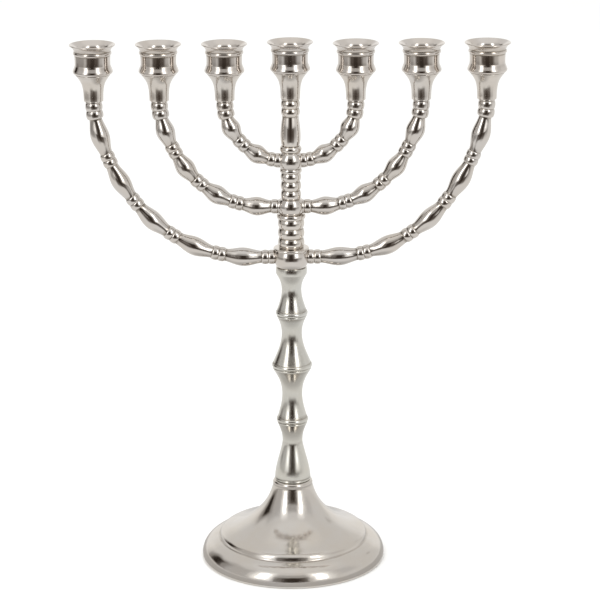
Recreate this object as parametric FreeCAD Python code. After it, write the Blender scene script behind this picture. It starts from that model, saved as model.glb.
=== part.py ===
import FreeCAD, Part
import math
import os

# Seven-branched menorah of nickel-plated brass, its pieces stacked on one steel tie rod.
# Millimetres, +Z up, branches spread along X, origin at the middle of the foot's underside.

# ---------------------------------------------------------------- driving dimensions
CANDLE_D = 20.0                 # straight candle that the cups take
SOCKET_CLEARANCE = 0.25         # radial room between a candle and its socket
CUP_SPACING = 42.63             # between neighbouring cup axes
BRANCH_TOP_Z = 317.8            # every branch ends here, upright, and its neck begins
TOP_STRAIGHT = 1.8              # upright stretch of a branch above its first bend
CENTRE_RISE = 1.0               # the post ends this much above the branches

# Each branch pair: which cup it carries, counted from the middle, the height of its axis
# at the post, how many ovoids are on each side and the length of an ovoid with a bead pair.
# Its bends are the radii of the bend under the cup and of the flank, as shares of its height.
BRANCHES = {
    "inner": {"cup": 1, "axis_z": 276.9, "ball_r": 8.4, "ovoids": 2, "pitch": 24.4, "bends": (1.0, 1.0)},
    "middle": {"cup": 2, "axis_z": 246.1, "ball_r": 8.9, "ovoids": 4, "pitch": 27.6, "bends": (0.55, 1.25)},
    "outer": {"cup": 3, "axis_z": 211.6, "ball_r": 11.7, "ovoids": 5, "pitch": 33.2, "bends": (0.55, 1.25)},
}
BEND_ENDS = (10, 38)            # degrees from upright where the first two bends end
BRANCH_WAIST_R = 4.15           # thinnest place between ovoids and beads
OVOID_R = 6.3
BEAD_R = 4.95
TOP_BEAD_R = 5.75               # first pair, right under the neck
BEAD_LENGTH = 4.4
TOP_BEAD_LENGTH = 5.3
TOP_LAND = 1.1                  # plain end above the first bead pair
TOP_LAND_R = 5.4
STUB_R = 4.7                    # plain stretch that enters the ball

FOOT_R = 62.1
FOOT_TOP_Z = 55.0
FOOT_SEAT_Z = 46.0              # flat underside of the solid top, where the washer bears

# Heights where the pieces stacked on the rod meet.
LOW_JOINT_Z = 96.7
MID_JOINT_Z = 135.2
TOP_JOINT_Z = 171.7
OUTER_BALL_BOTTOM_Z = 204.8
OUTER_BALL_TOP_Z = 216.4
MIDDLE_BALL_BOTTOM_Z = 241.0
MIDDLE_BALL_TOP_Z = 251.2
INNER_BALL_BOTTOM_Z = 271.9
INNER_BALL_TOP_Z = 283.0
POST_TOP_Z = BRANCH_TOP_Z + CENTRE_RISE

STEM_WAIST_R = 6.75
LOW_KNOP_R = 10.7
MID_KNOP_R = 13.5
TOP_KNOP_R = 10.7
FOOT_BELL_R = 12.0
KNOP_RING_H = 3.0
RING_BULGE = 0.8

ROD_R = 3.0                     # M6 tie rod
ROD_HOLE_R = 3.15
ROD_BOTTOM_Z = 35.0
ROD_TOP_Z = 299.0
REGISTER_R = 4.6                # short locating spigot under each stacked piece
REGISTER_LENGTH = 2.0
REGISTER_GAP = 0.06
REGISTER_DEPTH = 2.3

RECESS_GAP = 0.1                # spare depth over the boss that a recess takes

WASHER_R = 8.0
WASHER_T = 1.2
NUT_FLATS = 10.0
NUT_H = 5.0
NUT_CHAMFER = 0.7
ROD_CHAMFER = 0.6

NECK_H = 17.8
NECK_FOOT_R = 6.4
NECK_HEAD_R = 11.4
NECK_BOSS_R = 6.0               # low boss that centres the cup on its neck
NECK_BOSS_H = 0.8
CUP_H = 19.4
CUP_FLOOR = 3.0
CUP_RIM_R = 15.0
CUP_RIM_T = 0.8
CUP_MOUTH_H = 4.6               # flared mouth above the straight bore
CUP_BAND_R = 12.5               # raised band under the flared rim
CUP_THROAT_R = 11.5
CUP_BULGE_R = 13.0
CUP_BASE_R = 11.3

SCREW_R = 2.0                   # M4 countersunk screw through cup and neck into the branch
SCREW_HOLE_R = 2.15
SCREW_IN_BRANCH = 8.0
TAP_DEPTH = 9.0
SCREW_HEAD_R = 3.7
SCREW_HEAD_SINK = 0.1           # the head ends this far under the socket's floor
SCREW_HEAD_EDGE = 0.15
COUNTERSINK_R = 3.85
SLOT_W = 0.9
SLOT_DEPTH = 0.9

AXIS_Z = FreeCAD.Vector(0, 0, 1)
SIDES = {"left": -1, "right": 1}


# ---------------------------------------------------------------- turned outlines
class Outline:
    """A chain of edges from the axis outwards and back, given as radius and height."""

    def __init__(self, radius, height):
        self.start = FreeCAD.Vector(radius, 0, height)
        self.here = self.start
        self.edges = []

    def line(self, radius, height):
        there = FreeCAD.Vector(radius, 0, height)
        self.edges.append(Part.LineSegment(self.here, there).toShape())
        self.here = there
        return self

    def bead(self, radius, height, bulge):
        """An arc to the next point that stands proud of the chord by bulge."""
        there = FreeCAD.Vector(radius, 0, height)
        chord = there - self.here
        outwards = FreeCAD.Vector(chord.z, 0, -chord.x).normalize()
        middle = (self.here + there) * 0.5 + outwards * bulge
        self.edges.append(Part.Arc(self.here, middle, there).toShape())
        self.here = there
        return self

    def bend(self, first, second, radius, height):
        """One cubic curve, with two poles between its ends."""
        there = FreeCAD.Vector(radius, 0, height)
        poles = [self.here]
        poles += [FreeCAD.Vector(pole_r, 0, pole_z) for pole_r, pole_z in (first, second)]
        curve = Part.BezierCurve()
        curve.setPoles(poles + [there])
        self.edges.append(curve.toShape())
        self.here = there
        return self

    def sweep(self, shape, radius, height):
        """A cubic curve whose two poles are fractions of the way across and up."""
        across = radius - self.here.x
        up = height - self.here.z
        poles = [(self.here.x + part_r * across, self.here.z + part_z * up) for part_r, part_z in shape]
        return self.bend(poles[0], poles[1], radius, height)

    def solid(self):
        self.line(self.start.x, self.start.z)
        face = Part.Face(Part.Wire(self.edges))
        return face.revolve(FreeCAD.Vector(0, 0, 0), AXIS_Z, 360)


BELL = ((0.35, 0.29), (0.92, 0.56))         # hangs from a waist down to a knop's ring
FULL_BELL = ((0.0, 0.28), (0.69, 0.65))     # the rounder one that sits on the foot
FLANK = ((0.0, 0.52), (0.50, 0.71))         # rises from a waist to the ring above it


def cylinder(radius, bottom, top):
    return Part.makeCylinder(radius, top - bottom, FreeCAD.Vector(0, 0, bottom), AXIS_Z)


def register_recess(top):
    return cylinder(REGISTER_R + REGISTER_GAP, top - REGISTER_DEPTH, top + 1)


def stacked(shape, bottom, top):
    """Add what every stacked piece has: spigot below, recess above and the rod's hole."""
    shape = shape.fuse(cylinder(REGISTER_R, bottom - REGISTER_LENGTH, bottom + 1))
    shape = shape.cut(register_recess(top))
    return shape.cut(cylinder(ROD_HOLE_R, bottom - REGISTER_LENGTH - 1, top + 1))


# ---------------------------------------------------------------- foot and its fastening
def make_foot():
    outline = Outline(FOOT_R, 0)
    outline.line(FOOT_R, 1.5)
    outline.bend((FOOT_R, 6.6), (59.6, 12.2), 51.0, 14.2)       # rolled shoulder
    outline.line(50.2, 14.3)
    outline.bend((49.9, 17.2), (49.2, 18.0), 47.0, 18.9)        # step up to the slope
    outline.bend((20.6, 27.6), (15.6, 42.6), 13.2, 52.0)        # sweep up into the trumpet
    outline.bead(12.2, FOOT_TOP_Z, 0.7)                         # ring that closes the foot
    outline.line(0, FOOT_TOP_Z)
    outline.line(0, FOOT_SEAT_Z)
    outline.line(9.0, FOOT_SEAT_Z)
    outline.bend((11.4, 38.0), (21.0, 24.0), 46.2, 15.8)        # underside of the trumpet
    outline.bend((51.5, 11.6), (58.9, 7.4), 59.4, 1.6)
    outline.line(59.9, 0)
    foot = outline.solid().cut(cylinder(ROD_HOLE_R, 0, FOOT_TOP_Z + 1))
    return foot.cut(register_recess(FOOT_TOP_Z))


def make_washer():
    ring = cylinder(WASHER_R, FOOT_SEAT_Z - WASHER_T, FOOT_SEAT_Z)
    return ring.cut(cylinder(ROD_HOLE_R, 0, FOOT_SEAT_Z + 1))


def make_nut():
    top = FOOT_SEAT_Z - WASHER_T
    bottom = top - NUT_H
    corner = NUT_FLATS / math.sqrt(3)
    turns = [math.radians(60 * step) for step in range(7)]
    ring = [FreeCAD.Vector(corner * math.cos(a), corner * math.sin(a), bottom) for a in turns]
    prism = Part.Face(Part.makePolygon(ring)).extrude(FreeCAD.Vector(0, 0, NUT_H))
    crown = Outline(0, bottom).line(corner - NUT_CHAMFER, bottom).line(corner, bottom + NUT_CHAMFER)
    crown.line(corner, top).line(0, top)
    return prism.common(crown.solid()).cut(cylinder(ROD_R + REGISTER_GAP, 0, top + 1))


def make_tie_rod():
    rod = Outline(0, ROD_BOTTOM_Z)
    rod.line(ROD_R - ROD_CHAMFER, ROD_BOTTOM_Z).line(ROD_R, ROD_BOTTOM_Z + ROD_CHAMFER)
    rod.line(ROD_R, ROD_TOP_Z - ROD_CHAMFER).line(ROD_R - ROD_CHAMFER, ROD_TOP_Z)
    return rod.line(0, ROD_TOP_Z).solid()


# ---------------------------------------------------------------- post
def make_stem_low():
    """From the foot's ring: the full bell, a waist and the flank of the low knop."""
    top = LOW_JOINT_Z
    outline = Outline(0, FOOT_TOP_Z).line(11.4, FOOT_TOP_Z)
    outline.bead(11.6, FOOT_TOP_Z + 1.8, 0.7)
    outline.line(FOOT_BELL_R, FOOT_TOP_Z + 2.0)
    outline.sweep(FULL_BELL, STEM_WAIST_R, 82.0)
    outline.sweep(FLANK, LOW_KNOP_R - RING_BULGE, top - 1.3)
    outline.bead(LOW_KNOP_R - RING_BULGE, top, 0.3).line(0, top)
    return stacked(outline.solid(), FOOT_TOP_Z, top)


def make_stem_piece(bottom, ring_r, waist_z, top, next_ring_r, band_h):
    """From a knop's ring: bell, waist, flank and the band under the next knop's ring."""
    base_r = ring_r - RING_BULGE
    head_r = next_ring_r - RING_BULGE
    outline = Outline(0, bottom).line(base_r, bottom)
    outline.bead(base_r, bottom + KNOP_RING_H, RING_BULGE)
    outline.sweep(BELL, STEM_WAIST_R, waist_z)
    outline.sweep(FLANK, head_r - 0.2, top - band_h)
    outline.bead(head_r, top, 0.3).line(0, top)
    return stacked(outline.solid(), bottom, top)


def make_stem_top():
    """The uppermost stem piece ends in the flange that carries the outer branches."""
    flange_r = 9.7
    top = OUTER_BALL_BOTTOM_Z
    base_r = TOP_KNOP_R - RING_BULGE
    outline = Outline(0, TOP_JOINT_Z).line(base_r, TOP_JOINT_Z)
    outline.bead(base_r, TOP_JOINT_Z + KNOP_RING_H, RING_BULGE)
    outline.sweep(BELL, STEM_WAIST_R - 0.2, 188.5)
    outline.sweep(FLANK, flange_r, top - 3.4)
    outline.bead(flange_r, top, RING_BULGE).line(0, top)
    return stacked(outline.solid(), TOP_JOINT_Z, top)


def make_bead_column(bottom, top, bead_r, flange, collar):
    """Spacer of three beads between a flange below and a collar above.

    flange and collar are each a radius and a height; a height of 0 leaves it out."""
    beads = 3
    groove = 0.9
    valley = bead_r - groove
    flange_r, flange_h = flange
    collar_r, collar_h = collar
    outline = Outline(0, bottom)
    if flange_h:
        outline.line(flange_r - RING_BULGE, bottom)
        outline.bead(flange_r - RING_BULGE, bottom + flange_h, RING_BULGE)
    outline.line(valley, bottom + flange_h)
    step = (top - collar_h - bottom - flange_h) / beads
    for count in range(1, beads + 1):
        outline.bead(valley, bottom + flange_h + count * step, groove)
    outline.line(collar_r - 0.4, top - collar_h)
    outline.bead(collar_r - 0.4, top, 0.4).line(0, top)
    return stacked(outline.solid(), bottom, top)


def make_post_head():
    """Bead, slender vase and bead pair that end the post; the rod is screwed into it."""
    bottom = INNER_BALL_TOP_Z
    bead_top = bottom + 4.0
    vase_top = bead_top + 20.0
    pair_h = TOP_BEAD_LENGTH
    land_r = NECK_FOOT_R - 0.2
    land_h = 0.8
    outline = Outline(0, bottom).line(6.3, bottom)
    outline.bead(6.3, bead_top, 0.9)
    outline.line(5.6, bead_top)
    outline.bend((6.9, bead_top + 2.4), (6.9, bead_top + 8.3), 5.5, vase_top)
    outline.bead(5.5, vase_top + pair_h, 0.8)
    outline.bead(5.5, vase_top + 2 * pair_h, 0.8)
    outline.line(land_r, POST_TOP_Z - land_h)
    outline.line(land_r, POST_TOP_Z).line(0, POST_TOP_Z)
    head = outline.solid().fuse(cylinder(REGISTER_R, bottom - REGISTER_LENGTH, bottom + 1))
    head = head.cut(cylinder(ROD_R + REGISTER_GAP, bottom - REGISTER_LENGTH - 1, ROD_TOP_Z))
    return head.cut(cylinder(SCREW_HOLE_R, POST_TOP_Z - TAP_DEPTH, POST_TOP_Z + 1))


# ---------------------------------------------------------------- branches
class Route:
    """Axis of one right-hand branch: down from the cup in three tangent bends, then straight in."""

    def __init__(self, branch):
        height = BRANCH_TOP_Z - TOP_STRAIGHT - branch["axis_z"]
        ends = [math.radians(turn) for turn in BEND_ENDS] + [math.pi / 2]
        radii = [share * height for share in branch["bends"]]
        first, second = (math.sin(end) for end in ends[:2])
        radii.append((height - radii[0] * first - radii[1] * (second - first)) / (1 - second))
        self.bends = list(zip(radii, ends))
        self.top_x = branch["cup"] * CUP_SPACING
        starts = [0] + ends[:2]
        turns = [radius * (end - start) for (radius, end), start in zip(self.bends, starts)]
        self.arc_length = TOP_STRAIGHT + sum(turns)
        self.straight_x = self.place_at(self.arc_length)[0]

    def place_at(self, distance):
        """How far out and how high the axis is, and its slope from upright, after a distance."""
        out, height, slope = self.top_x, BRANCH_TOP_Z - min(distance, TOP_STRAIGHT), 0
        distance = max(distance - TOP_STRAIGHT, 0)
        for radius, end in self.bends:
            turned = min(distance / radius, end - slope)
            out -= radius * (math.cos(slope) - math.cos(slope + turned))
            height -= radius * (math.sin(slope + turned) - math.sin(slope))
            slope += turned
            distance -= radius * turned
        return out - max(distance, 0), height, slope

    def section(self, distance, radius):
        """A circle across the axis; every circle starts at the same side, +Y."""
        out, height, turn = self.place_at(distance)
        place = FreeCAD.Vector(out, 0, height)
        along = FreeCAD.Vector(-math.sin(turn), 0, -math.cos(turn))
        side = FreeCAD.Vector(0, 1, 0)
        other = along.cross(side)
        frame = FreeCAD.Matrix(
            side.x, other.x, along.x, place.x,
            side.y, other.y, along.y, place.y,
            side.z, other.z, along.z, place.z,
            0, 0, 0, 1,
        )
        circle = Part.Wire(Part.Circle(FreeCAD.Vector(0, 0, 0), AXIS_Z, radius).toShape())
        circle.Placement = FreeCAD.Placement(frame)
        return circle


def swell(start, length, foot_r, crest_r, steps, form):
    """Stations, as distance and radius, of one bulge along a branch."""
    stations = []
    for step in range(steps + 1):
        turn = math.pi * step / steps
        if form == "bead":
            stations.append((start + length * (1 - math.cos(turn)) / 2,
                             foot_r + (crest_r - foot_r) * math.sin(turn)))
        else:
            stations.append((start + length * step / steps,
                             foot_r + (crest_r - foot_r) * math.sin(turn) ** 1.6))
    return stations


def branch_stretches(branch, route):
    """Every smooth stretch of a branch, from its top to the ball, as lists of stations."""
    stretches = [[(0, TOP_LAND_R), (TOP_LAND, TOP_LAND_R)]]
    at = TOP_LAND
    for count in range(branch["ovoids"] + 1):
        crest_r = BEAD_R if count else TOP_BEAD_R
        foot_r = BRANCH_WAIST_R + 0.1 if count else TOP_BEAD_R - 0.85
        bead_length = BEAD_LENGTH if count else TOP_BEAD_LENGTH
        for _ in range(2):
            stretches.append(swell(at, bead_length, foot_r, crest_r, 6, "bead"))
            at += bead_length
        if count < branch["ovoids"]:
            length = branch["pitch"] - 2 * BEAD_LENGTH
            stretches.append(swell(at, length, BRANCH_WAIST_R, OVOID_R, 10, "ovoid"))
            at += length
    end = route.arc_length + max(route.straight_x - ROD_HOLE_R, 0)
    stretches.append([(at + (end - at) * part / 4, STUB_R) for part in range(5)])
    return stretches


def branch_side(branch):
    """One side of a pair: its stretches, each lofted on its own, joined end to end."""
    route = Route(branch)
    pieces = []
    for stations in branch_stretches(branch, route):
        rings = [route.section(distance, radius) for distance, radius in stations]
        pieces.append(Part.makeLoft(rings, True, False))
    side = pieces[0].multiFuse(pieces[1:])
    tap_x = branch["cup"] * CUP_SPACING
    tap = Part.makeCylinder(SCREW_HOLE_R, TAP_DEPTH + 1, FreeCAD.Vector(tap_x, 0, BRANCH_TOP_Z - TAP_DEPTH))
    return side.cut(tap)


def make_branch_pair(branch, ball_bottom, ball_top):
    """One casting: two beaded branches and the ball that the rod passes through."""
    right = branch_side(branch)
    left = right.mirror(FreeCAD.Vector(0, 0, 0), FreeCAD.Vector(1, 0, 0))
    centre = FreeCAD.Vector(0, 0, branch["axis_z"])
    ball = Part.makeSphere(branch["ball_r"], centre)
    ball = ball.common(cylinder(branch["ball_r"] + 1, ball_bottom, ball_top))
    return stacked(ball.multiFuse([right, left]), ball_bottom, ball_top)


# ---------------------------------------------------------------- necks, cups and screws
def make_neck(bottom):
    """Trumpet under a cup, with a low boss on top that centres the cup."""
    top = bottom + NECK_H
    outline = Outline(0, bottom).line(NECK_FOOT_R, bottom)
    outline.bend((NECK_FOOT_R, top - 6.1), (8.0, top - 5.0), NECK_HEAD_R, top - 0.5)
    outline.bead(NECK_HEAD_R, top, 0.2)
    outline.line(NECK_BOSS_R, top).line(NECK_BOSS_R, top + NECK_BOSS_H)
    outline.line(0, top + NECK_BOSS_H)
    return outline.solid().cut(cylinder(SCREW_HOLE_R, bottom - 1, top + NECK_BOSS_H + 1))


def make_cup(bottom):
    """Turned socket: bulge, throat, raised band and a flared rim over a straight bore.

    The floor is countersunk for the screw, and hollowed below for the neck's boss."""
    top = bottom + CUP_H
    floor = bottom + CUP_FLOOR
    bore_r = CANDLE_D / 2 + SOCKET_CLEARANCE
    throat_z = bottom + 7.0
    band_z = bottom + 12.6
    recess_r = NECK_BOSS_R + REGISTER_GAP
    recess_top = bottom + NECK_BOSS_H + RECESS_GAP
    outline = Outline(recess_r, bottom).line(CUP_BASE_R, bottom)
    outline.bead(CUP_BULGE_R, bottom + 1.5, 0.35)
    outline.bend((CUP_BULGE_R, bottom + 3.6), (CUP_THROAT_R, bottom + 4.2), CUP_THROAT_R, throat_z)
    outline.line(CUP_THROAT_R + 0.2, band_z)
    outline.bead(CUP_THROAT_R + 0.4, band_z + 2.2, CUP_BAND_R - CUP_THROAT_R - 0.3)
    outline.bend((CUP_THROAT_R + 0.5, top - 3.2), (CUP_RIM_R - 1.8, top - 1.6), CUP_RIM_R, top - 0.5)
    outline.bead(CUP_RIM_R - CUP_RIM_T, top, 0.3)
    outline.bend((bore_r + 1.9, top - 1.3), (bore_r + 0.2, top - 2.7), bore_r, top - CUP_MOUTH_H)
    outline.line(bore_r, floor).line(COUNTERSINK_R, floor)
    cone_top = floor - SCREW_HEAD_SINK - SCREW_HEAD_EDGE + COUNTERSINK_R - SCREW_HEAD_R
    outline.line(COUNTERSINK_R, cone_top)
    outline.line(SCREW_HOLE_R, cone_top - COUNTERSINK_R + SCREW_HOLE_R)
    outline.line(SCREW_HOLE_R, recess_top).line(recess_r, recess_top)
    return outline.solid()


def make_cup_screw(floor):
    """Countersunk slotted screw whose head lies just under the socket's floor."""
    head_top = floor - SCREW_HEAD_SINK
    cone_top = head_top - SCREW_HEAD_EDGE
    tip = floor - CUP_FLOOR - NECK_H - SCREW_IN_BRANCH
    outline = Outline(0, tip).line(SCREW_R - 0.4, tip).line(SCREW_R, tip + 0.4)
    outline.line(SCREW_R, cone_top - SCREW_HEAD_R + SCREW_R)
    outline.line(SCREW_HEAD_R, cone_top).line(SCREW_HEAD_R, head_top).line(0, head_top)
    slot = Part.makeBox(
        3 * SCREW_HEAD_R, SLOT_W, SLOT_DEPTH + 1,
        FreeCAD.Vector(-1.5 * SCREW_HEAD_R, -SLOT_W / 2, head_top - SLOT_DEPTH),
    )
    return outline.solid().cut(slot)


# ---------------------------------------------------------------- assembly
def at_x(shape, offset):
    shape = shape.copy()
    shape.translate(FreeCAD.Vector(offset, 0, 0))
    return shape


def make_cups():
    """Neck, cup and screw at each of the seven places; the middle ones stand a little higher."""
    pieces = {}
    screws = []
    places = {"centre": (0, POST_TOP_Z)}
    for name, branch in BRANCHES.items():
        for side, sign in SIDES.items():
            places[f"{name}_{side}"] = (sign * branch["cup"] * CUP_SPACING, BRANCH_TOP_Z)
    for place, (offset, base) in places.items():
        cup_base = base + NECK_H
        pieces[f"neck_{place}"] = at_x(make_neck(base), offset)
        pieces[f"candle_cup_{place}"] = at_x(make_cup(cup_base), offset)
        screws.append(at_x(make_cup_screw(cup_base + CUP_FLOOR), offset))
    pieces["cup_screws"] = Part.makeCompound(screws)
    return pieces


def make_parts():
    outer, middle, inner = BRANCHES["outer"], BRANCHES["middle"], BRANCHES["inner"]
    parts = {
        "foot": make_foot(),
        "foot_washer": make_washer(),
        "foot_nut": make_nut(),
        "tie_rod": make_tie_rod(),
        "stem_low": make_stem_low(),
        "stem_lower_middle": make_stem_piece(LOW_JOINT_Z, LOW_KNOP_R, 115.5, MID_JOINT_Z, MID_KNOP_R, 1.6),
        "stem_upper_middle": make_stem_piece(MID_JOINT_Z, MID_KNOP_R, 158.0, TOP_JOINT_Z, TOP_KNOP_R, 1.3),
        "stem_top": make_stem_top(),
        "branch_pair_outer": make_branch_pair(outer, OUTER_BALL_BOTTOM_Z, OUTER_BALL_TOP_Z),
        "post_beads_lower": make_bead_column(
            OUTER_BALL_TOP_Z, MIDDLE_BALL_BOTTOM_Z, 8.8, (11.9, 2.0), (9.6, 2.8)),
        "branch_pair_middle": make_branch_pair(middle, MIDDLE_BALL_BOTTOM_Z, MIDDLE_BALL_TOP_Z),
        "post_beads_upper": make_bead_column(
            MIDDLE_BALL_TOP_Z, INNER_BALL_BOTTOM_Z, 6.8, (0, 0), (7.3, 2.6)),
        "branch_pair_inner": make_branch_pair(inner, INNER_BALL_BOTTOM_Z, INNER_BALL_TOP_Z),
        "post_head": make_post_head(),
    }
    parts.update(make_cups())
    return parts


def main():
    os.makedirs("parts", exist_ok=True)
    total = FreeCAD.BoundBox()
    for name, shape in make_parts().items():
        shape.exportStep(f"parts/{name}.step")
        total.add(shape.optimalBoundingBox(False))
        solids = len(shape.Solids)
        print(f"{name:24s} {shape.Volume / 1000:8.2f} cm3  solids {solids}  valid {shape.isValid()}")
    print(f"overall {total.XLength:.1f} x {total.YLength:.1f} x {total.ZLength:.1f} mm")


main()
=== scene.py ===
import math

import bpy
import numpy as np
from mathutils import Matrix, Vector, noise


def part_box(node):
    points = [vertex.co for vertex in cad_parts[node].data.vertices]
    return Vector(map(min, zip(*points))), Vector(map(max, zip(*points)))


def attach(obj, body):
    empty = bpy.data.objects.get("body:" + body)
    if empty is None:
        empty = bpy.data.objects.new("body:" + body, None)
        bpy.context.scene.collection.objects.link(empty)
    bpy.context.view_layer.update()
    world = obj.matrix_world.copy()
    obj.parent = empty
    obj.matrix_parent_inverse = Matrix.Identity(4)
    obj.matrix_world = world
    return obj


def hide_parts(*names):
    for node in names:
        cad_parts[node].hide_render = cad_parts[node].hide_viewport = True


# Looks of a seven-branched menorah of nickel-plated brass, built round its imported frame.
# Outlines and places are in millimetres here and become metres when a mesh is made.

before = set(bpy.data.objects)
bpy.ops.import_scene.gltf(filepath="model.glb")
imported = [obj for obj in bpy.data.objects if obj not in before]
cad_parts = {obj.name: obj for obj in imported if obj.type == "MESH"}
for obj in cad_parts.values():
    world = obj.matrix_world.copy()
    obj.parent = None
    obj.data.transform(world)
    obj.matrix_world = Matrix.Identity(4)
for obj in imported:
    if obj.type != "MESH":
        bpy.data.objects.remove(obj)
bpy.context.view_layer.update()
MM = 0.001


# ---------------------------------------------------------------- sizes, mostly from the frame
def low_of(node):
    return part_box(node)[0] / MM


def high_of(node):
    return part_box(node)[1] / MM


SPIGOT_R = 4.6                  # short locating spigot under each stacked piece
SPIGOT_LENGTH = 2.0
RECESS_R = 4.66
RECESS_DEPTH = 2.3
RECESS_GAP = 0.1
ROD_R = high_of("tie_rod").x
ROD_HOLE_R = ROD_R + 0.15
FIT_ROOM = 0.06                 # round a thread or a boss that is pushed in
SCREW_HOLE_R = 2.15
TAP_DEPTH = 9.0

STEM_WAIST_R = 6.75
KNOP_RING_H = 3.0
RING_BULGE = 0.8                # how far the ring of a knop stands proud of its band
BAND_BULGE = 0.3                # how round that band is itself

FOOT_R = high_of("foot").y
FOOT_TOP_Z = high_of("foot").z
LOW_JOINT_Z = high_of("stem_low").z
MID_JOINT_Z = high_of("stem_lower_middle").z
TOP_JOINT_Z = high_of("stem_upper_middle").z
OUTER_BALL_BOTTOM_Z = high_of("stem_top").z
OUTER_BALL_TOP_Z = low_of("post_beads_lower").z + SPIGOT_LENGTH
MIDDLE_BALL_BOTTOM_Z = high_of("post_beads_lower").z
MIDDLE_BALL_TOP_Z = low_of("post_beads_upper").z + SPIGOT_LENGTH
INNER_BALL_BOTTOM_Z = high_of("post_beads_upper").z
INNER_BALL_TOP_Z = low_of("post_head").z + SPIGOT_LENGTH
POST_TOP_Z = high_of("post_head").z
BRANCH_TOP_Z = low_of("neck_outer_left").z
CUP_SPACING = (low_of("neck_outer_right").x + high_of("neck_outer_right").x) / 6

MID_KNOP_R = high_of("stem_upper_middle").x
TOP_KNOP_R = high_of("stem_top").x
LOW_KNOP_R = TOP_KNOP_R

# Which cup from the middle a branch carries, the height of its axis at the post, the ball there,
# the number of ovoids and their pitch, and the radii of the bend under the cup and of the flank
# as shares of the branch's height.
BRANCHES = {
    "inner": {"cup": 1, "axis_z": 276.9, "ball_r": 8.4,
              "ovoids": 2, "pitch": 24.4, "bends": (1.0, 1.0)},
    "middle": {"cup": 2, "axis_z": 246.1, "ball_r": 8.9,
               "ovoids": 4, "pitch": 27.6, "bends": (0.55, 1.25)},
    "outer": {"cup": 3, "axis_z": 211.6, "ball_r": 11.7,
              "ovoids": 5, "pitch": 33.2, "bends": (0.55, 1.25)},
}
BEND_ENDS = (10, 38)            # degrees from upright where the first two bends end
TOP_STRAIGHT = 1.8              # upright stretch of a branch above its first bend
BRANCH_WAIST_R = 4.15
OVOID_R = 6.3
OVOID_TAPER = 1.6               # 1 is a half wave, more draws the ends out
BEAD_R = 4.95
BEAD_FOOT_R = BRANCH_WAIST_R + 0.1
BEAD_LENGTH = 4.4
TOP_BEAD_R = 5.75
TOP_BEAD_FOOT_R = TOP_BEAD_R - 0.85
TOP_BEAD_LENGTH = 5.3
TOP_LAND = 1.1
TOP_LAND_R = 5.4
STUB_R = 4.7
ARM_END = 5.2                   # inside the ball's wall, clear of the rod's hole
UNEVENNESS = 0.10               # of the cast surface
WAVES_PER_MM = 0.13

NECK_FOOT_R = 6.4
NECK_HEAD_R = 11.4
NECK_BOSS_R = 6.0
NECK_BOSS_H = 0.8
CUP_H = 19.4
CUP_FLOOR = 3.0
COUNTERSINK_R = 3.85
COUNTERSINK_EDGE = 0.1
CUP_BORE_R = 10.25
CUP_RIM_R = 15.0
CUP_RIM_T = 0.8
CUP_MOUTH_H = 4.6
CUP_BAND_R = 12.5
CUP_THROAT_R = 11.5
CUP_BULGE_R = 13.0
CUP_BASE_R = 11.3

# Poles of the stem's curves, as fractions of the way across and up.
BELL = ((0.35, 0.29), (0.92, 0.56))
FULL_BELL = ((0.0, 0.28), (0.69, 0.65))
FLANK = ((0.0, 0.52), (0.50, 0.71))

# Facets round a piece, and steps along the curves of its outline.
FOOT_SEGMENTS = 192
POST_SEGMENTS = 96
CUP_SEGMENTS = 80
NECK_SEGMENTS = 72
ARM_SEGMENTS = 44
ARC_STEPS = 24
CURVE_STEPS = 48
BALL_STEPS = 59
BEAD_STEPS = 24
OVOID_STEPS = 40


# ---------------------------------------------------------------- outlines
class Outline:
    """The section of a turned piece as a chain of points, each a radius and a height."""

    def __init__(self, radius, height):
        self.points = [(radius, height)]

    def line(self, radius, height):
        self.points.append((radius, height))
        return self

    def bead(self, radius, height, bulge):
        """An arc to the next point that stands proud of the chord by bulge."""
        start = np.array(self.points[-1])
        end = np.array((radius, height))
        half = (end - start) / 2
        reach = np.linalg.norm(half)
        outwards = np.array((half[1], -half[0])) / reach
        arc_r = (reach ** 2 + bulge ** 2) / (2 * bulge)
        centre = (start + end) / 2 + outwards * (bulge - arc_r)
        opening = 2 * math.atan2(bulge, reach)
        for turn in np.linspace(-opening, opening, ARC_STEPS + 1)[1:]:
            along = half / reach * math.sin(turn)
            self.points.append(tuple(centre + arc_r * (along + outwards * math.cos(turn))))
        return self

    def bend(self, first, second, radius, height):
        """One cubic curve, with two poles between its ends."""
        poles = np.array([self.points[-1], first, second, (radius, height)])
        for t in np.linspace(0, 1, CURVE_STEPS + 1)[1:]:
            weights = np.array([(1 - t) ** 3, 3 * t * (1 - t) ** 2, 3 * t ** 2 * (1 - t), t ** 3])
            self.points.append(tuple(weights @ poles))
        return self

    def sweep(self, shape, radius, height):
        """A cubic curve whose two poles are fractions of the way across and up."""
        from_r, from_z = self.points[-1]
        poles = [(from_r + part_r * (radius - from_r), from_z + part_z * (height - from_z))
                 for part_r, part_z in shape]
        return self.bend(poles[0], poles[1], radius, height)


KERNEL_REACH = 4                # half the buffing kernel's length, in units of wear
HOLLOW_WINDOW = 9               # steps over which the turning is averaged
FULL_HOLLOW = 45                # degrees of inward turning in a millimetre of a deep groove


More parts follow.
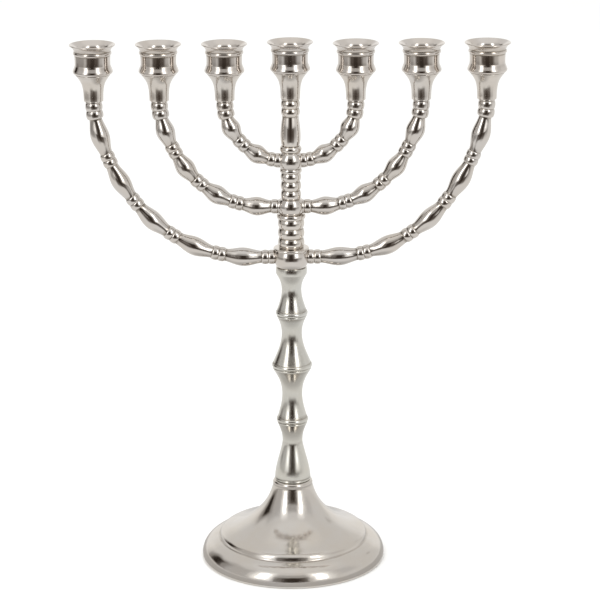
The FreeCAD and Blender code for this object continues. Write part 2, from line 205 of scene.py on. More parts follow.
def polished(points, closed, wear=0.16, step=0.06, turn_limit=7.0, longest=2.5):
    """Rounds every corner as buffing does, then keeps only the points the shape needs.

    wear is how far a corner is buffed round. Points are kept after a turn of turn_limit degrees
    or a stretch of longest. Returns radius, height and how hollow the section is at each point,
    from 0 to 1."""
    chain = np.array(points + points[:1] if closed else points)
    lengths = np.hypot(*np.diff(chain, axis=0).T)
    chain = chain[np.append(True, lengths > 1e-9)]
    travelled = np.append(0, np.cumsum(lengths[lengths > 1e-9]))
    count = int(travelled[-1] / step)
    at = np.linspace(0, travelled[-1], count + 1)
    dense = np.stack([np.interp(at, travelled, chain[:, axis]) for axis in range(2)], 1)
    reach = int(KERNEL_REACH * wear / step) + 1
    kernel = np.exp(-0.5 * (np.arange(-reach, reach + 1) * step / wear) ** 2)
    kernel /= kernel.sum()
    if closed:
        dense = dense[:-1]
        padded = np.concatenate([dense[-reach:], dense, dense[:reach]])
    else:
        ends = 2 * dense[0] - dense[reach:0:-1], 2 * dense[-1] - dense[-2:-reach - 2:-1]
        padded = np.concatenate([ends[0], dense, ends[1]])
    smooth = np.stack([np.convolve(padded[:, axis], kernel, "valid") for axis in range(2)], 1)
    ahead = np.roll(smooth, -1, 0) - smooth
    heading = np.unwrap(np.arctan2(ahead[:, 1], ahead[:, 0]))
    turning = np.degrees(np.diff(heading, append=heading[-1]))
    window = np.ones(HOLLOW_WINDOW) / HOLLOW_WINDOW
    hollow = np.clip(-np.convolve(turning, window, "same") / (step * FULL_HOLLOW), 0, 1)
    kept = [0]
    turned = 0.0
    for index in range(1, len(smooth) - (0 if closed else 1)):
        turned += abs(turning[index])
        if turned > turn_limit or (index - kept[-1]) * step > longest:
            kept.append(index)
            turned = 0.0
    if not closed:
        kept.append(len(smooth) - 1)
    return [(float(smooth[k, 0]), float(smooth[k, 1]), float(hollow[k])) for k in kept]


# ---------------------------------------------------------------- meshes
SHARP_ANGLE = math.radians(42)


def revolve(name, points, segments, place, closed=True, **rounding):
    """A mesh of rings, one for each point of the rounded outline, set in space by place."""
    outline = polished(points, closed, **rounding)
    vertices = []
    hollows = []
    rings = []
    for radius, height, hollow in outline:
        on_axis = radius < 1e-6
        turns = [0.0] if on_axis else [2 * math.pi * k / segments for k in range(segments)]
        rings.append(range(len(vertices), len(vertices) + len(turns)))
        vertices += [place(max(radius, 0.0), height, turn) * MM for turn in turns]
        hollows += [hollow] * len(turns)
    pairs = list(zip(rings, rings[1:] + rings[:1])) if closed else list(zip(rings, rings[1:]))
    faces = []
    for lower, upper in pairs:
        for k in range(segments):
            after = (k + 1) % segments
            if len(lower) == 1:
                faces.append((lower[0], upper[after], upper[k]))
            elif len(upper) == 1:
                faces.append((lower[k], lower[after], upper[0]))
            else:
                faces.append((lower[k], lower[after], upper[after], upper[k]))
    mesh = bpy.data.meshes.new(name)
    mesh.from_pydata(vertices, [], faces)
    grooves = mesh.attributes.new("groove", "FLOAT", "POINT")
    grooves.data.foreach_set("value", np.array(hollows, np.float32))
    mesh.validate()
    return finished(bpy.data.objects.new(name, mesh))


def finished(piece):
    """Puts a piece in the scene and shades it smooth between its sharp edges."""
    if piece.name not in bpy.context.scene.collection.objects:
        bpy.context.scene.collection.objects.link(piece)
    piece.data.polygons.foreach_set("use_smooth", [True] * len(piece.data.polygons))
    piece.data.set_sharp_from_angle(angle=SHARP_ANGLE)
    return piece


def upright(offset=0.0):
    """Places the rings of a piece that stands on an upright axis."""
    def place(radius, height, turn):
        return Vector((offset + radius * math.cos(turn), radius * math.sin(turn), height))
    return place


def united(piece, *others):
    """Joins overlapping closed pieces into one skin."""
    for other in others:
        union = piece.modifiers.new("union", "BOOLEAN")
        union.operation = "UNION"
        union.solver = "MANIFOLD"
        union.object = other
    depsgraph = bpy.context.evaluated_depsgraph_get()
    mesh = bpy.data.meshes.new_from_object(piece.evaluated_get(depsgraph))
    piece.modifiers.clear()
    piece.data = mesh
    mesh.name = piece.name
    for other in others:
        bpy.data.objects.remove(other)
    return finished(piece)


def stands_for(piece, material, slot, *nodes):
    """Gives a piece its material and puts it in the place of its CAD nodes."""
    piece.data.materials.clear()
    piece.data.materials.append(material)
    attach(piece, "root")
    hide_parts(*nodes)


def stacked(bottom, base_r, outside, top, head_r):
    """Closes the outside of a stacked piece with its bore, spigot and recess."""
    outline = Outline(ROD_HOLE_R, bottom - SPIGOT_LENGTH)
    outline.line(SPIGOT_R, bottom - SPIGOT_LENGTH).line(SPIGOT_R, bottom).line(base_r, bottom)
    outside(outline)
    outline.line(head_r, top).line(RECESS_R, top)
    outline.line(RECESS_R, top - RECESS_DEPTH).line(ROD_HOLE_R, top - RECESS_DEPTH)
    return outline.points


# ---------------------------------------------------------------- foot
def foot_outline():
    """Up the outside of the foot, down the rod's hole and out along the hollow underside."""
    rim_edge_h = 1.5
    rim_top = (51.0, 14.2)
    step_foot = (50.2, 14.3)
    step_top = (47.0, 18.9)
    ring_foot = (13.2, 52.0)
    ring_head_r, ring_bulge = 12.2, 0.7
    seat_r, seat_z = 9.0, high_of("foot_washer").z
    hollow_step = (46.2, 15.8)
    hollow_edge = (59.4, 1.6)
    standing_r = 59.9
    recess_z = FOOT_TOP_Z - RECESS_DEPTH

    outline = Outline(FOOT_R, 0).line(FOOT_R, rim_edge_h)
    outline.bend((FOOT_R, 6.6), (59.6, 12.2), *rim_top).line(*step_foot)
    outline.bend((49.9, 17.2), (49.2, 18.0), *step_top)
    outline.bend((20.6, 27.6), (15.6, 42.6), *ring_foot)
    outline.bead(ring_head_r, FOOT_TOP_Z, ring_bulge)
    outline.line(RECESS_R, FOOT_TOP_Z).line(RECESS_R, recess_z).line(ROD_HOLE_R, recess_z)
    outline.line(ROD_HOLE_R, seat_z).line(seat_r, seat_z)
    outline.bend((11.4, 38.0), (21.0, 24.0), *hollow_step)
    outline.bend((51.5, 11.6), (58.9, 7.4), *hollow_edge)
    return outline.line(standing_r, 0).points


# ---------------------------------------------------------------- post
def stem_low_outline():
    """The bell on the foot, its waist and the flank of the low knop."""
    bottom, top = FOOT_TOP_Z, LOW_JOINT_Z
    seam_r = 11.4
    bead_r, bead_h, bead_bulge = 11.6, 1.8, 0.7
    bell_r, bell_h = 12.0, 2.0
    waist_z = 82.0
    band_h = 1.3
    knop_r = LOW_KNOP_R - RING_BULGE

    def outside(outline):
        outline.bead(bead_r, bottom + bead_h, bead_bulge)
        outline.line(bell_r, bottom + bell_h)
        outline.sweep(FULL_BELL, STEM_WAIST_R, waist_z)
        outline.sweep(FLANK, knop_r, top - band_h)
        outline.bead(knop_r, top, BAND_BULGE)
    return stacked(bottom, seam_r, outside, top, knop_r)


def stem_piece_outline(bottom, ring_r, waist_z, top, next_ring_r, band_h):
    """A knop's ring and bell, the waist above it and the flank of the next knop."""
    base_r = ring_r - RING_BULGE
    head_r = next_ring_r - RING_BULGE
    flank_step = 0.2

    def outside(outline):
        outline.bead(base_r, bottom + KNOP_RING_H, RING_BULGE)
        outline.sweep(BELL, STEM_WAIST_R, waist_z)
        outline.sweep(FLANK, head_r - flank_step, top - band_h)
        outline.bead(head_r, top, BAND_BULGE)
    return stacked(bottom, base_r, outside, top, head_r)


def stem_top_outline():
    """The top knop's ring and bell, a waist and a plain collar under the outer ball."""
    bottom, top = TOP_JOINT_Z, OUTER_BALL_BOTTOM_Z
    base_r = TOP_KNOP_R - RING_BULGE
    waist_r, waist_z = STEM_WAIST_R - 0.2, 188.5
    collar_r, collar_h, collar_bulge = 10.25, 4.4, 0.15

    def outside(outline):
        outline.bead(base_r, bottom + KNOP_RING_H, RING_BULGE)
        outline.sweep(BELL, waist_r, waist_z)
        outline.sweep(FLANK, collar_r, top - collar_h)
        outline.bead(collar_r, top, collar_bulge)
    return stacked(bottom, base_r, outside, top, collar_r)


def bead_column_outline(bottom, top, bead_r, flange, collar):
    """Three beads between a flange below and a collar above, each a radius and a height.

    A flange without height is left out."""
    beads = 3
    groove = 0.9
    valley = bead_r - groove
    flange_r, flange_h = flange
    collar_r, collar_h = collar
    collar_bulge = 0.4

    def outside(outline):
        if flange_h:
            outline.bead(flange_r - RING_BULGE, bottom + flange_h, RING_BULGE)
            outline.line(valley, bottom + flange_h)
        step = (top - collar_h - bottom - flange_h) / beads
        for count in range(1, beads + 1):
            outline.bead(valley, bottom + flange_h + count * step, groove)
        outline.line(collar_r - collar_bulge, top - collar_h)
        outline.bead(collar_r - collar_bulge, top, collar_bulge)
    base_r = flange_r - RING_BULGE if flange_h else valley
    return stacked(bottom, base_r, outside, top, collar_r - collar_bulge)


def post_head_outline():
    """From the top of the rod's hole down, up the bead, vase and bead pair, and into the tap."""
    bottom = INNER_BALL_TOP_Z
    bead_r, bead_top, bead_bulge = 6.3, bottom + 4.0, 0.9
    vase_foot_r, vase_head_r, vase_top = 5.6, 5.3, bead_top + 20.0
    pair_r, pair_bulge = 5.5, 0.8
    land_r, land_h = NECK_FOOT_R - 0.2, 0.8
    rod_top = high_of("tie_rod").z
    rod_r = ROD_R + FIT_ROOM
    tap_z = POST_TOP_Z - TAP_DEPTH

    outline = Outline(0, rod_top).line(rod_r, rod_top).line(rod_r, bottom - SPIGOT_LENGTH)
    outline.line(SPIGOT_R, bottom - SPIGOT_LENGTH).line(SPIGOT_R, bottom).line(bead_r, bottom)
    outline.bead(bead_r, bead_top, bead_bulge).line(vase_foot_r, bead_top)
    outline.bend((7.1, bead_top + 2.4), (7.0, bead_top + 10.5), vase_head_r, vase_top)
    for count in (1, 2):
        outline.bead(pair_r, vase_top + count * TOP_BEAD_LENGTH, pair_bulge)
    outline.line(land_r, POST_TOP_Z - land_h).line(land_r, POST_TOP_Z)
    return outline.line(SCREW_HOLE_R, POST_TOP_Z).line(SCREW_HOLE_R, tap_z).line(0, tap_z).points


# ---------------------------------------------------------------- branches
def swell(outline, start, length, foot_r, crest_r, form):
    """One bulge along a branch, in which height is the distance from the branch's top."""
    steps = BEAD_STEPS if form == "bead" else OVOID_STEPS
    for step in range(1, steps + 1):
        turn = math.pi * step / steps
        if form == "bead":
            share = (1 - math.cos(turn)) / 2
            rise = math.sin(turn)
        else:
            share = step / steps
            rise = math.sin(turn) ** OVOID_TAPER
        outline.line(foot_r + (crest_r - foot_r) * rise, start + length * share)


def arm_outline(branch, end):
    """Out of the screw's hole at a branch's top and along its beads and ovoids to the ball."""
    outline = Outline(0, TAP_DEPTH).line(SCREW_HOLE_R, TAP_DEPTH).line(SCREW_HOLE_R, 0)
    outline.line(TOP_LAND_R, 0).line(TOP_LAND_R, TOP_LAND)
    ovoid_length = branch["pitch"] - 2 * BEAD_LENGTH
    foot_r, crest_r, bead_length = TOP_BEAD_FOOT_R, TOP_BEAD_R, TOP_BEAD_LENGTH
    at = TOP_LAND
    for count in range(branch["ovoids"] + 1):
        for _ in range(2):
            outline.line(foot_r, at)
            swell(outline, at, bead_length, foot_r, crest_r, "bead")
            at += bead_length
        if count < branch["ovoids"]:
            outline.line(BRANCH_WAIST_R, at)
            swell(outline, at, ovoid_length, BRANCH_WAIST_R, OVOID_R, "ovoid")
            at += ovoid_length
        foot_r, crest_r, bead_length = BEAD_FOOT_R, BEAD_R, BEAD_LENGTH
    return outline.line(STUB_R, at).line(STUB_R, end).line(0, end).points


class Route:
    """Axis of a right-hand branch: down from the cup in three tangent bends, then straight in."""

    def __init__(self, branch):
        height = BRANCH_TOP_Z - TOP_STRAIGHT - branch["axis_z"]
        ends = [math.radians(turn) for turn in BEND_ENDS] + [math.pi / 2]
        radii = [share * height for share in branch["bends"]]
        first, second = (math.sin(end) for end in ends[:2])
        radii.append((height - radii[0] * first - radii[1] * (second - first)) / (1 - second))
        self.bends = list(zip(radii, ends))
        self.top_x = branch["cup"] * CUP_SPACING
        starts = [0] + ends[:2]
        turns = [radius * (end - start) for (radius, end), start in zip(self.bends, starts)]
        self.arc_length = TOP_STRAIGHT + sum(turns)

    def place_at(self, distance):
        """How far out and how high the axis is, and its slope from upright, after a distance."""
        out, height, slope = self.top_x, BRANCH_TOP_Z - min(distance, TOP_STRAIGHT), 0
        distance = max(distance - TOP_STRAIGHT, 0)
        for radius, end in self.bends:
            turned = min(distance / radius, end - slope)
            out -= radius * (math.cos(slope) - math.cos(slope + turned))
            height -= radius * (math.sin(slope + turned) - math.sin(slope))
            slope += turned
            distance -= radius * turned
        return out - max(distance, 0), height, slope

    def distance_to(self, out):
        """The distance along the axis to where it is this far from the post's middle."""
        near, far = 0.0, self.arc_length + self.top_x
        while far - near > 0.01:
            middle = (near + far) / 2
            near, far = (middle, far) if self.place_at(middle)[0] > out else (near, middle)
        return near


def make_arm(name, branch, sign):
    """One side of a pair, down from the cup and into the ball, as uneven as a casting is."""
    route = Route(branch)
    own_part = Vector((branch["cup"] * 31.0, sign * 17.0, 5.0))     # of the noise, for this arm
    hole_edge = 0.3                                                 # buffed round by this much

    def place(radius, distance, turn):
        if radius <= SCREW_HOLE_R + hole_edge and distance <= TAP_DEPTH + hole_edge:
            x = route.top_x + radius * math.sin(turn)
            return Vector((sign * x, sign * radius * math.cos(turn), BRANCH_TOP_Z - distance))
        out, height, slope = route.place_at(distance)
        axis = Vector((out, 0, height))
        outwards = Vector((math.cos(slope), 0, -math.sin(slope)))
        point = axis + radius * (math.cos(turn) * Vector((0, 1, 0)) + math.sin(turn) * outwards)
        if distance > TOP_LAND:
            wave = noise.noise(point * WAVES_PER_MM + own_part)
            uneven = UNEVENNESS * wave - UNEVENNESS / 2
            point += (point - axis).normalized() * uneven * min(radius / BRANCH_WAIST_R, 1.0)
        return Vector((sign * point.x, sign * point.y, point.z))

    outline = arm_outline(branch, route.distance_to(ARM_END))
    return revolve(name, outline, ARM_SEGMENTS, place, closed=False, turn_limit=8.0, wear=0.13)


def make_branch_pair(name, branch, ball_bottom, ball_top):
    """A ball bored for the rod and its two arms, in one skin."""
    ball_r, axis_z = branch["ball_r"], branch["axis_z"]
    low, high = ball_bottom - axis_z, ball_top - axis_z

    def outside(outline):
        for height in np.linspace(low, high, BALL_STEPS + 1):
            outline.line(math.sqrt(ball_r ** 2 - height ** 2), axis_z + height)
    base_r = math.sqrt(ball_r ** 2 - low ** 2)
    head_r = math.sqrt(ball_r ** 2 - high ** 2)
    points = stacked(ball_bottom, base_r, outside, ball_top, head_r)
    ball = revolve(name, points, POST_SEGMENTS, upright())
    arms = [make_arm(f"{name}_arm_{sign}", branch, sign) for sign in (-1, 1)]
    return united(ball, *arms)


# ---------------------------------------------------------------- necks, cups and screws
def neck_outline(bottom, top):
    """A trumpet with a low boss on top that centres the cup."""
    edge_h, edge_bulge = 0.5, 0.2
    boss_top = top + NECK_BOSS_H
    outline = Outline(SCREW_HOLE_R, bottom).line(NECK_FOOT_R, bottom)
    outline.bend((NECK_FOOT_R, top - 6.1), (8.0, top - 5.0), NECK_HEAD_R, top - edge_h)
    outline.bead(NECK_HEAD_R, top, edge_bulge)
    outline.line(NECK_BOSS_R, top).line(NECK_BOSS_R, boss_top)
    return outline.line(SCREW_HOLE_R, boss_top).points


def cup_outline(bottom):
    """Up the bulge, throat, raised band and flared rim, then down the bore to the screw's hole."""
    top = bottom + CUP_H
    recess_r = NECK_BOSS_R + FIT_ROOM
    recess_z = bottom + NECK_BOSS_H + RECESS_GAP
    bulge_z, base_bulge = bottom + 1.5, 0.35
    throat_z = bottom + 7.0
    band_z = bottom + 12.6
    band_top = band_z + 2.2
    band_foot_r, band_head_r = CUP_THROAT_R + 0.2, CUP_THROAT_R + 0.4
    band_bulge = CUP_BAND_R - CUP_THROAT_R - 0.3
    rim_z, rim_bulge = top - 0.5, 0.3
    bore_z = top - CUP_MOUTH_H
    floor_z = bottom + CUP_FLOOR
    cone_z = floor_z - COUNTERSINK_EDGE

    outline = Outline(SCREW_HOLE_R, recess_z)
    outline.line(recess_r, recess_z).line(recess_r, bottom).line(CUP_BASE_R, bottom)
    outline.bead(CUP_BULGE_R, bulge_z, base_bulge)
    outline.bend((CUP_BULGE_R, bottom + 3.6), (CUP_THROAT_R, bottom + 4.2), CUP_THROAT_R, throat_z)
    outline.line(band_foot_r, band_z)
    outline.bead(band_head_r, band_top, band_bulge)
    outline.bend((CUP_THROAT_R + 0.5, top - 3.2), (CUP_RIM_R - 1.8, top - 1.6), CUP_RIM_R, rim_z)
    outline.bead(CUP_RIM_R - CUP_RIM_T, top, rim_bulge)
    outline.bend((CUP_BORE_R + 1.9, top - 1.3), (CUP_BORE_R + 0.2, top - 2.7), CUP_BORE_R, bore_z)
    outline.line(CUP_BORE_R, floor_z).line(COUNTERSINK_R, floor_z).line(COUNTERSINK_R, cone_z)
    return outline.line(SCREW_HOLE_R, cone_z - COUNTERSINK_R + SCREW_HOLE_R).points


# ---------------------------------------------------------------- materials
WARM_PATCH = (0.985, 0.95, 0.90)        # share of the tone where the plating is warmer
# Dark colour mixed in where a section is hollow: partly tarnish, partly painted shade in the
# grooves.
GROOVE_TARNISH_AND_SHADE = (0.20, 0.165, 0.125)
FILM_ROUGHNESS = 0.25


def plated(name, tone, roughness, marks, undulation, tarnish_and_shade):
    """Buffed plating: uneven patches, fine marks, and a dark dull film in the grooves that is
    partly tarnish and partly painted shade.

    marks and undulation are the heights of the turning marks and of slow swellings, in mm."""
    material = bpy.data.materials.new(name)
    material.use_nodes = True
    nodes, links = material.node_tree.nodes, material.node_tree.links
    shader = nodes["Principled BSDF"]
    shader.inputs["Metallic"].default_value = 1.0
    place = nodes.new("ShaderNodeTexCoord")

    def noise_at(scale, detail, fineness, distortion=0.0):
        made = nodes.new("ShaderNodeTexNoise")
        made.inputs["Scale"].default_value = scale
        made.inputs["Detail"].default_value = detail
        made.inputs["Roughness"].default_value = fineness
        made.inputs["Distortion"].default_value = distortion
        links.new(place.outputs["Object"], made.inputs["Vector"])
        return made

    def mapped(source, low, high, from_low=0.3, from_high=0.7):
        made = nodes.new("ShaderNodeMapRange")
        made.inputs["From Min"].default_value = from_low
        made.inputs["From Max"].default_value = from_high
        made.inputs["To Min"].default_value = low
        made.inputs["To Max"].default_value = high
        links.new(source, made.inputs["Value"])
        return made.outputs["Result"]

    def arithmetic(operation, first, second):
        made = nodes.new("ShaderNodeMath")
        made.operation = operation
        for socket, value in zip(made.inputs, (first, second)):
            if isinstance(value, (int, float)):
                socket.default_value = value
            else:
                links.new(value, socket)
        return made.outputs["Value"]

    def mixed(factor, first, second):
        made = nodes.new("ShaderNodeMix")
        made.data_type = "RGBA"
        links.new(factor, made.inputs["Factor"])
        for socket, value in zip((made.inputs["A"], made.inputs["B"]), (first, second)):
            if isinstance(value, tuple):
                socket.default_value = (*value, 1)
            else:
                links.new(value, socket)
        return made.outputs["Result"]

    patches = noise_at(38, detail=4, fineness=0.55)
    smears = noise_at(140, detail=6, fineness=0.62, distortion=0.4)
    grooves = nodes.new("ShaderNodeAttribute")
    grooves.attribute_name = "groove"
    # Where the section is hollow the colour darkens: partly tarnish, partly painted shade.
    film_and_shade = mapped(smears.outputs["Fac"], 0.25, 1.0)
    film_and_shade = arithmetic("MULTIPLY", grooves.outputs["Fac"], film_and_shade)
    film_and_shade = arithmetic("MULTIPLY", film_and_shade, tarnish_and_shade)

    warm = tuple(part * share for part, share in zip(tone, WARM_PATCH))
    clean = mixed(mapped(patches.outputs["Fac"], 0.0, 1.0), tone, warm)
    links.new(mixed(film_and_shade, clean, GROOVE_TARNISH_AND_SHADE), shader.inputs["Base Color"])

    rough = mapped(smears.outputs["Fac"], roughness * 0.75, roughness * 1.5)
    rough = arithmetic("ADD", rough, arithmetic("MULTIPLY", film_and_shade, FILM_ROUGHNESS))
    links.new(rough, shader.inputs["Roughness"])

    turned = nodes.new("ShaderNodeTexWave")
    turned.bands_direction = "Z"
    turned.inputs["Scale"].default_value = 620
    turned.inputs["Distortion"].default_value = 2.2
    turned.inputs["Detail"].default_value = 3
    turned.inputs["Detail Scale"].default_value = 0.6
    links.new(place.outputs["Object"], turned.inputs["Vector"])
    swelling = noise_at(95, detail=2, fineness=0.4)
    height = arithmetic("MULTIPLY", swelling.outputs["Fac"], undulation)
    height = arithmetic("ADD", height, arithmetic("MULTIPLY", turned.outputs["Fac"], marks))
    bump = nodes.new("ShaderNodeBump")
    bump.inputs["Strength"].default_value = 1.0
    bump.inputs["Distance"].default_value = MM
    links.new(height, bump.inputs["Height"])
    links.new(bump.outputs["Normal"], shader.inputs["Normal"])
    return material


# Tone, roughness, turning marks, undulation, and tarnish with painted shade in the grooves.
nickel_foot = plated("nickel_foot", (0.62, 0.595, 0.57), 0.12, 0.0012, 0.20, 0.35)
nickel_turned = plated("nickel_turned", (0.633, 0.631, 0.603), 0.16, 0.0012, 0.08, 0.95)
nickel_slender = plated("nickel_slender", (0.68, 0.652, 0.625), 0.06, 0.0010, 0.05, 1.0)
nickel_neck = plated("nickel_neck", (0.68, 0.652, 0.625), 0.115, 0.0010, 0.05, 1.0)
nickel_cast = plated("nickel_cast", (0.635, 0.61, 0.59), 0.065, 0.0004, 0.12, 1.0)
nickel_cup = plated("nickel_cup", (0.66, 0.627, 0.602), 0.08, 0.0010, 0.05, 0.95)
zinc = plated("zinc_steel", (0.56, 0.57, 0.58), 0.28, 0.002, 0.02, 0.3)


# ---------------------------------------------------------------- pieces
def make_turned(node, points, material, slot, segments=POST_SEGMENTS, offset=0.0, **rounding):
    piece = revolve(f"{node}_plated", points, segments, upright(offset), **rounding)
    stands_for(piece, material, slot, node)


make_turned("foot", foot_outline(), nickel_foot, "nickel_foot",
            segments=FOOT_SEGMENTS, wear=0.45)
make_turned("stem_low", stem_low_outline(), nickel_turned, "nickel_turned", wear=0.3)
make_turned("stem_lower_middle",
            stem_piece_outline(bottom=LOW_JOINT_Z, ring_r=LOW_KNOP_R, waist_z=115.5,
                               top=MID_JOINT_Z, next_ring_r=MID_KNOP_R, band_h=1.6),
            nickel_turned, "nickel_turned")
make_turned("stem_upper_middle",
            stem_piece_outline(bottom=MID_JOINT_Z, ring_r=MID_KNOP_R, waist_z=158.0,
                               top=TOP_JOINT_Z, next_ring_r=TOP_KNOP_R, band_h=1.3),
            nickel_turned, "nickel_turned")
make_turned("stem_top", stem_top_outline(), nickel_turned, "nickel_turned")
make_turned("post_beads_lower",
            bead_column_outline(OUTER_BALL_TOP_Z, MIDDLE_BALL_BOTTOM_Z,
                                bead_r=8.8, flange=(11.9, 2.0), collar=(9.6, 2.8)),
            nickel_slender, "nickel_turned")
make_turned("post_beads_upper",
            bead_column_outline(MIDDLE_BALL_TOP_Z, INNER_BALL_BOTTOM_Z,
                                bead_r=6.8, flange=(0, 0), collar=(7.3, 2.6)),
            nickel_slender, "nickel_turned")
make_turned("post_head", post_head_outline(), nickel_slender, "nickel_turned", closed=False)

BALLS = {
    "outer": (OUTER_BALL_BOTTOM_Z, OUTER_BALL_TOP_Z),
    "middle": (MIDDLE_BALL_BOTTOM_Z, MIDDLE_BALL_TOP_Z),
    "inner": (INNER_BALL_BOTTOM_Z, INNER_BALL_TOP_Z),
}
for pair, (ball_bottom, ball_top) in BALLS.items():
    node = f"branch_pair_{pair}"
    piece = make_branch_pair(f"{node}_plated", BRANCHES[pair], ball_bottom, ball_top)
    stands_for(piece, nickel_cast, "nickel_cast", node)

for neck in [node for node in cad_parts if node.startswith("neck_")]:
    cup = neck.replace("neck_", "candle_cup_")
    offset = (low_of(cup).x + high_of(cup).x) / 2
    neck_top = low_of(cup).z
    make_turned(neck, neck_outline(low_of(neck).z, neck_top), nickel_neck, "nickel_turned",
                NECK_SEGMENTS, offset)
    make_turned(cup, cup_outline(neck_top), nickel_cup, "nickel_cup", CUP_SEGMENTS, offset)

for node in ("foot_washer", "foot_nut", "tie_rod", "cup_screws"):
    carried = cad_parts[node]
    carried.data.materials.clear()
    carried.data.materials.append(zinc)


# ---------------------------------------------------------------- camera
CAMERA_DISTANCE = 1.5975
CAMERA_HEIGHT = 0.66385
CAMERA_PITCH = math.radians(16.8)
CAMERA_YAW = math.radians(0.2)
CAMERA_ROLL = math.radians(-0.32)
FOCAL_PX = 2505
IMAGE_PX = 600

camera = bpy.data.objects.new("camera", bpy.data.cameras.new("camera"))
bpy.context.scene.collection.objects.link(camera)
camera.data.sensor_width = 36
camera.data.lens = camera.data.sensor_width * FOCAL_PX / IMAGE_PX
camera.data.clip_end = 60
camera.location = (0, -CAMERA_DISTANCE, CAMERA_HEIGHT)
facing = Matrix.Rotation(-CAMERA_YAW, 4, "Z") @ Matrix.Rotation(math.pi / 2 - CAMERA_PITCH, 4, "X")
camera.rotation_euler = (facing @ Matrix.Rotation(CAMERA_ROLL, 4, "Z")).to_euler()
bpy.context.scene.camera = camera


# ---------------------------------------------------------------- studio
DRUM_R = 8.0
DRUM_STEP = 1.5                 # degrees
GLOW_LIFT = 0.0008              # of the floor's glow over the floor
GLOW_RINGS = 70
GLOW_STEP = 3                   # degrees
WALL_LEVEL = 0.84
# The room is brown where it is dark: the tint of its darkest and of its bright parts, and the
# light level over which the one fades into the other.
DARK_TINT = np.array((1.0, 0.72, 0.53))
LIGHT_TINT = np.array((1.0, 0.99, 0.968))
TINT_FADE = 0.18
# Each feature of the studio round the object: middle and half width of its azimuth (0 is the
# front, + is to the right), lowest and highest elevation, softness of its edge, all in degrees,
# and its light level.
STUDIO = [
    ("bright ceiling", 0, 180, 62, 91, 7, 0.94),
    ("left wall", -84, 27, -20, 47, 7, 0.62),
    ("grey stand right", 75, 13, 14, 44, 6, 0.72),
    ("bright back wall", 180, 38, -20, 26, 8, 1.06),
    ("floor's edge in front", -3, 58, -20, 1, 3, 0.22),
    ("soft box left", -42.5, 14.5, 1, 58, 5, 1.15),
    ("soft box right", 38, 15, 1, 58, 5, 1.15),
    ("hot middle of the left box", -41, 6, 10, 47, 4, 4.6),
    ("hot middle of the right box", 37, 6, 10, 47, 4, 4.6),
    ("open room in front", -3, 24, -20, 31, 3.5, 0.22),
    ("room's ceiling in front", -3, 22, 31, 46, 5, 0.52),
    ("camera and its stand", -1, 12, -20, 27, 5, 0.05),
    ("doorway's surround", -114, 20, -20, 34, 5, 0.40),
    ("doorway left rear", -115, 10, 3, 29, 3, 0.03),
    ("lamp stand right rear", 133, 4, 27, 32, 2, 0.62),
]
# The floor as the metal sees it: darker close to the foot, a painted shade of the foot on the
# floor, at each distance in metres, and darker outwards in some directions: middle, half width and
# softness of the azimuth, then the light level at each distance.
FLOOR_LEVEL = 0.93
# Painted shade: the light levels of the floor close to the foot, darkened as if the foot shaded
# it.
NEAR_FLOOR_SHADE = ((0.063, 0.58), (0.10, 0.62), (0.15, 0.78), (0.20, 0.93))
FLOOR_FADES = [
    ("towards the right", 50, 22, 12,
     ((0.5, 0.93), (0.8, 0.80), (1.3, 0.60), (3.0, 0.45))),
    ("towards the room", 0, 42, 13,
     ((0.40, 0.93), (0.52, 0.66), (0.62, 0.26), (0.9, 0.16), (1.5, 0.10))),
    ("towards the camera", -1, 13, 5,
     ((0.5, 0.93), (0.62, 0.14), (0.9, 0.08), (1.5, 0.05))),
    ("towards the left wall", -80, 30, 12,
     ((0.8, 0.93), (1.0, 0.55), (1.6, 0.40))),
    ("towards the doorway", -112, 14, 8,
     ((0.9, 0.93), (1.3, 0.50), (2.0, 0.32), (4.0, 0.22))),
]


def ramp(value, low, high):
    """A smooth step from 0 at low to 1 at high."""
    share = min(max((value - low) / (high - low), 0.0), 1.0)
    return share * share * (3 - 2 * share)


def within(azimuth, middle, half, soft):
    """1 inside a range of azimuths and 0 outside it, with a soft edge."""
    off = abs((azimuth - middle + 180) % 360 - 180)
    return 1 - ramp(off, half - soft, half + soft)


def studio_level(azimuth, elevation):
    level = WALL_LEVEL
    for _, middle, half, low, high, soft, target in STUDIO:
        above = ramp(elevation, low - soft, low + soft)
        below = 1 - ramp(elevation, high - soft, high + soft)
        level += (target - level) * (within(azimuth, middle, half, soft) * (above * below))
    return level


def floor_level(azimuth, distance):
    level = FLOOR_LEVEL
    for _, middle, half, soft, levels in FLOOR_FADES:
        target = float(np.interp(distance, *zip(*levels)))
        level += (target - level) * within(azimuth, middle, half, soft)
    # Painted shade: the foot's shadow darkens the floor's glow close to the foot.
    return min(level, float(np.interp(distance, *zip(*NEAR_FLOOR_SHADE))))


def glow_of(level):
    """The colour of a light level, as red, green, blue and alpha."""
    share = 1 - math.exp(-level / TINT_FADE)
    return [*(level * (DARK_TINT + (LIGHT_TINT - DARK_TINT) * share)), 1]


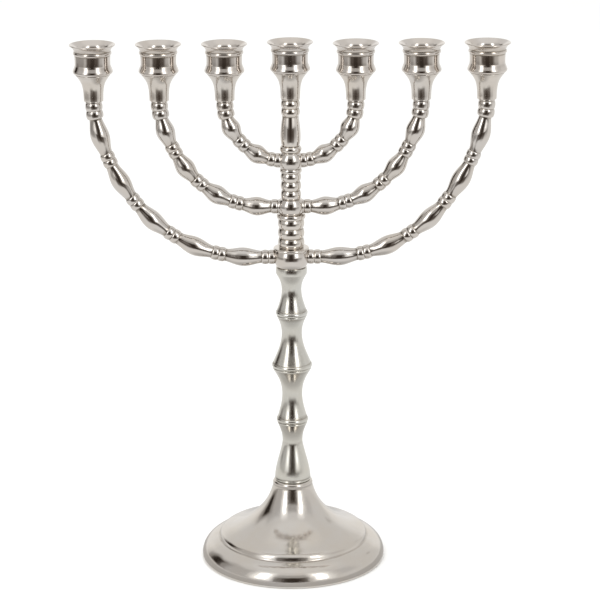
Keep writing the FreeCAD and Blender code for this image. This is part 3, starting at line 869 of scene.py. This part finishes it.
def reflected_only(name, rows, azimuths):
    """A glowing sheet that only mirrors see: rows of a radius, a height and a level function."""
    vertices = []
    glows = []
    for radius, height, level_at in rows:
        for azimuth in azimuths:
            turn = math.radians(azimuth)
            vertices.append((radius * math.sin(turn), -radius * math.cos(turn), height))
            glows += glow_of(level_at(azimuth))
    around = len(azimuths)
    faces = [(row * around + k, row * around + (k + 1) % around,
              (row + 1) * around + (k + 1) % around, (row + 1) * around + k)
             for row in range(len(rows) - 1) for k in range(around)]
    mesh = bpy.data.meshes.new(name)
    mesh.from_pydata(vertices, [], faces)
    mesh.attributes.new("glow", "FLOAT_COLOR", "POINT").data.foreach_set("color", glows)
    sheet = bpy.data.objects.new(name, mesh)
    bpy.context.scene.collection.objects.link(sheet)
    material = bpy.data.materials.new(name)
    material.use_nodes = True
    nodes, links = material.node_tree.nodes, material.node_tree.links
    nodes.clear()
    glow = nodes.new("ShaderNodeAttribute")
    glow.attribute_name = "glow"
    emission = nodes.new("ShaderNodeEmission")
    links.new(glow.outputs["Color"], emission.inputs["Color"])
    output = nodes.new("ShaderNodeOutputMaterial")
    links.new(emission.outputs["Emission"], output.inputs["Surface"])
    material.cycles.emission_sampling = "NONE"
    mesh.materials.append(material)
    sheet.visible_camera = False
    sheet.visible_diffuse = False
    sheet.visible_shadow = False


def make_drum():
    """The studio's walls and ceiling."""
    rows = []
    for elevation in np.arange(-DRUM_STEP, 90.1, DRUM_STEP):
        turn = math.radians(elevation)
        rows.append((DRUM_R * math.cos(turn), DRUM_R * math.sin(turn),
                     lambda azimuth, elevation=elevation: studio_level(azimuth, elevation)))
    reflected_only("studio_drum", rows, np.arange(-180, 180, DRUM_STEP))


def make_floor_glow():
    """The floor's light as the metal mirrors it, with painted shade close to the foot, a little
    above the floor itself.
    """
    rows = [(distance, GLOW_LIFT,
             lambda azimuth, distance=distance: floor_level(azimuth, distance))
            for distance in np.geomspace(NEAR_FLOOR_SHADE[0][0], DRUM_R, GLOW_RINGS)]
    reflected_only("studio_floor_glow", rows, np.arange(-180, 180, GLOW_STEP))


def make_floor():
    bpy.ops.mesh.primitive_plane_add(size=60)
    floor = bpy.context.object
    floor.name = "floor"
    material = bpy.data.materials.new("floor")
    material.use_nodes = True
    shader = material.node_tree.nodes["Principled BSDF"]
    shader.inputs["Base Color"].default_value = (0.95, 0.95, 0.945, 1)
    shader.inputs["Roughness"].default_value = 0.7
    shader.inputs["Specular IOR Level"].default_value = 0.0
    floor.data.materials.append(material)


def make_lamp(name, size, place, radiance, aim=(0, 0, 0.15)):
    """A soft box that lights the floor. Mirrors see the drum's glow in its place."""
    lamp = bpy.data.objects.new(name, bpy.data.lights.new(name, "AREA"))
    lamp.data.shape = "SQUARE"
    lamp.data.size = size
    lamp.data.energy = radiance * math.pi * size * size
    lamp.location = place
    lamp.rotation_euler = (Vector(aim) - Vector(place)).to_track_quat("-Z", "Y").to_euler()
    lamp.visible_camera = False
    lamp.visible_glossy = False
    bpy.context.scene.collection.objects.link(lamp)


def make_world():
    world = bpy.data.worlds.new("world")
    world.use_nodes = True
    background = world.node_tree.nodes["Background"]
    background.inputs["Color"].default_value = (0.90, 0.90, 0.89, 1)
    background.inputs["Strength"].default_value = 1.0
    bpy.context.scene.world = world


make_world()
make_floor()
make_drum()
make_floor_glow()
make_lamp("ceiling_lamp", size=3.0, place=(-0.3, -0.2, 2.6), radiance=1.2)
make_lamp("key_lamp", size=0.7, place=(-1.4, -1.6, 1.6), radiance=3.0)
bpy.context.scene.view_settings.view_transform = "Standard"
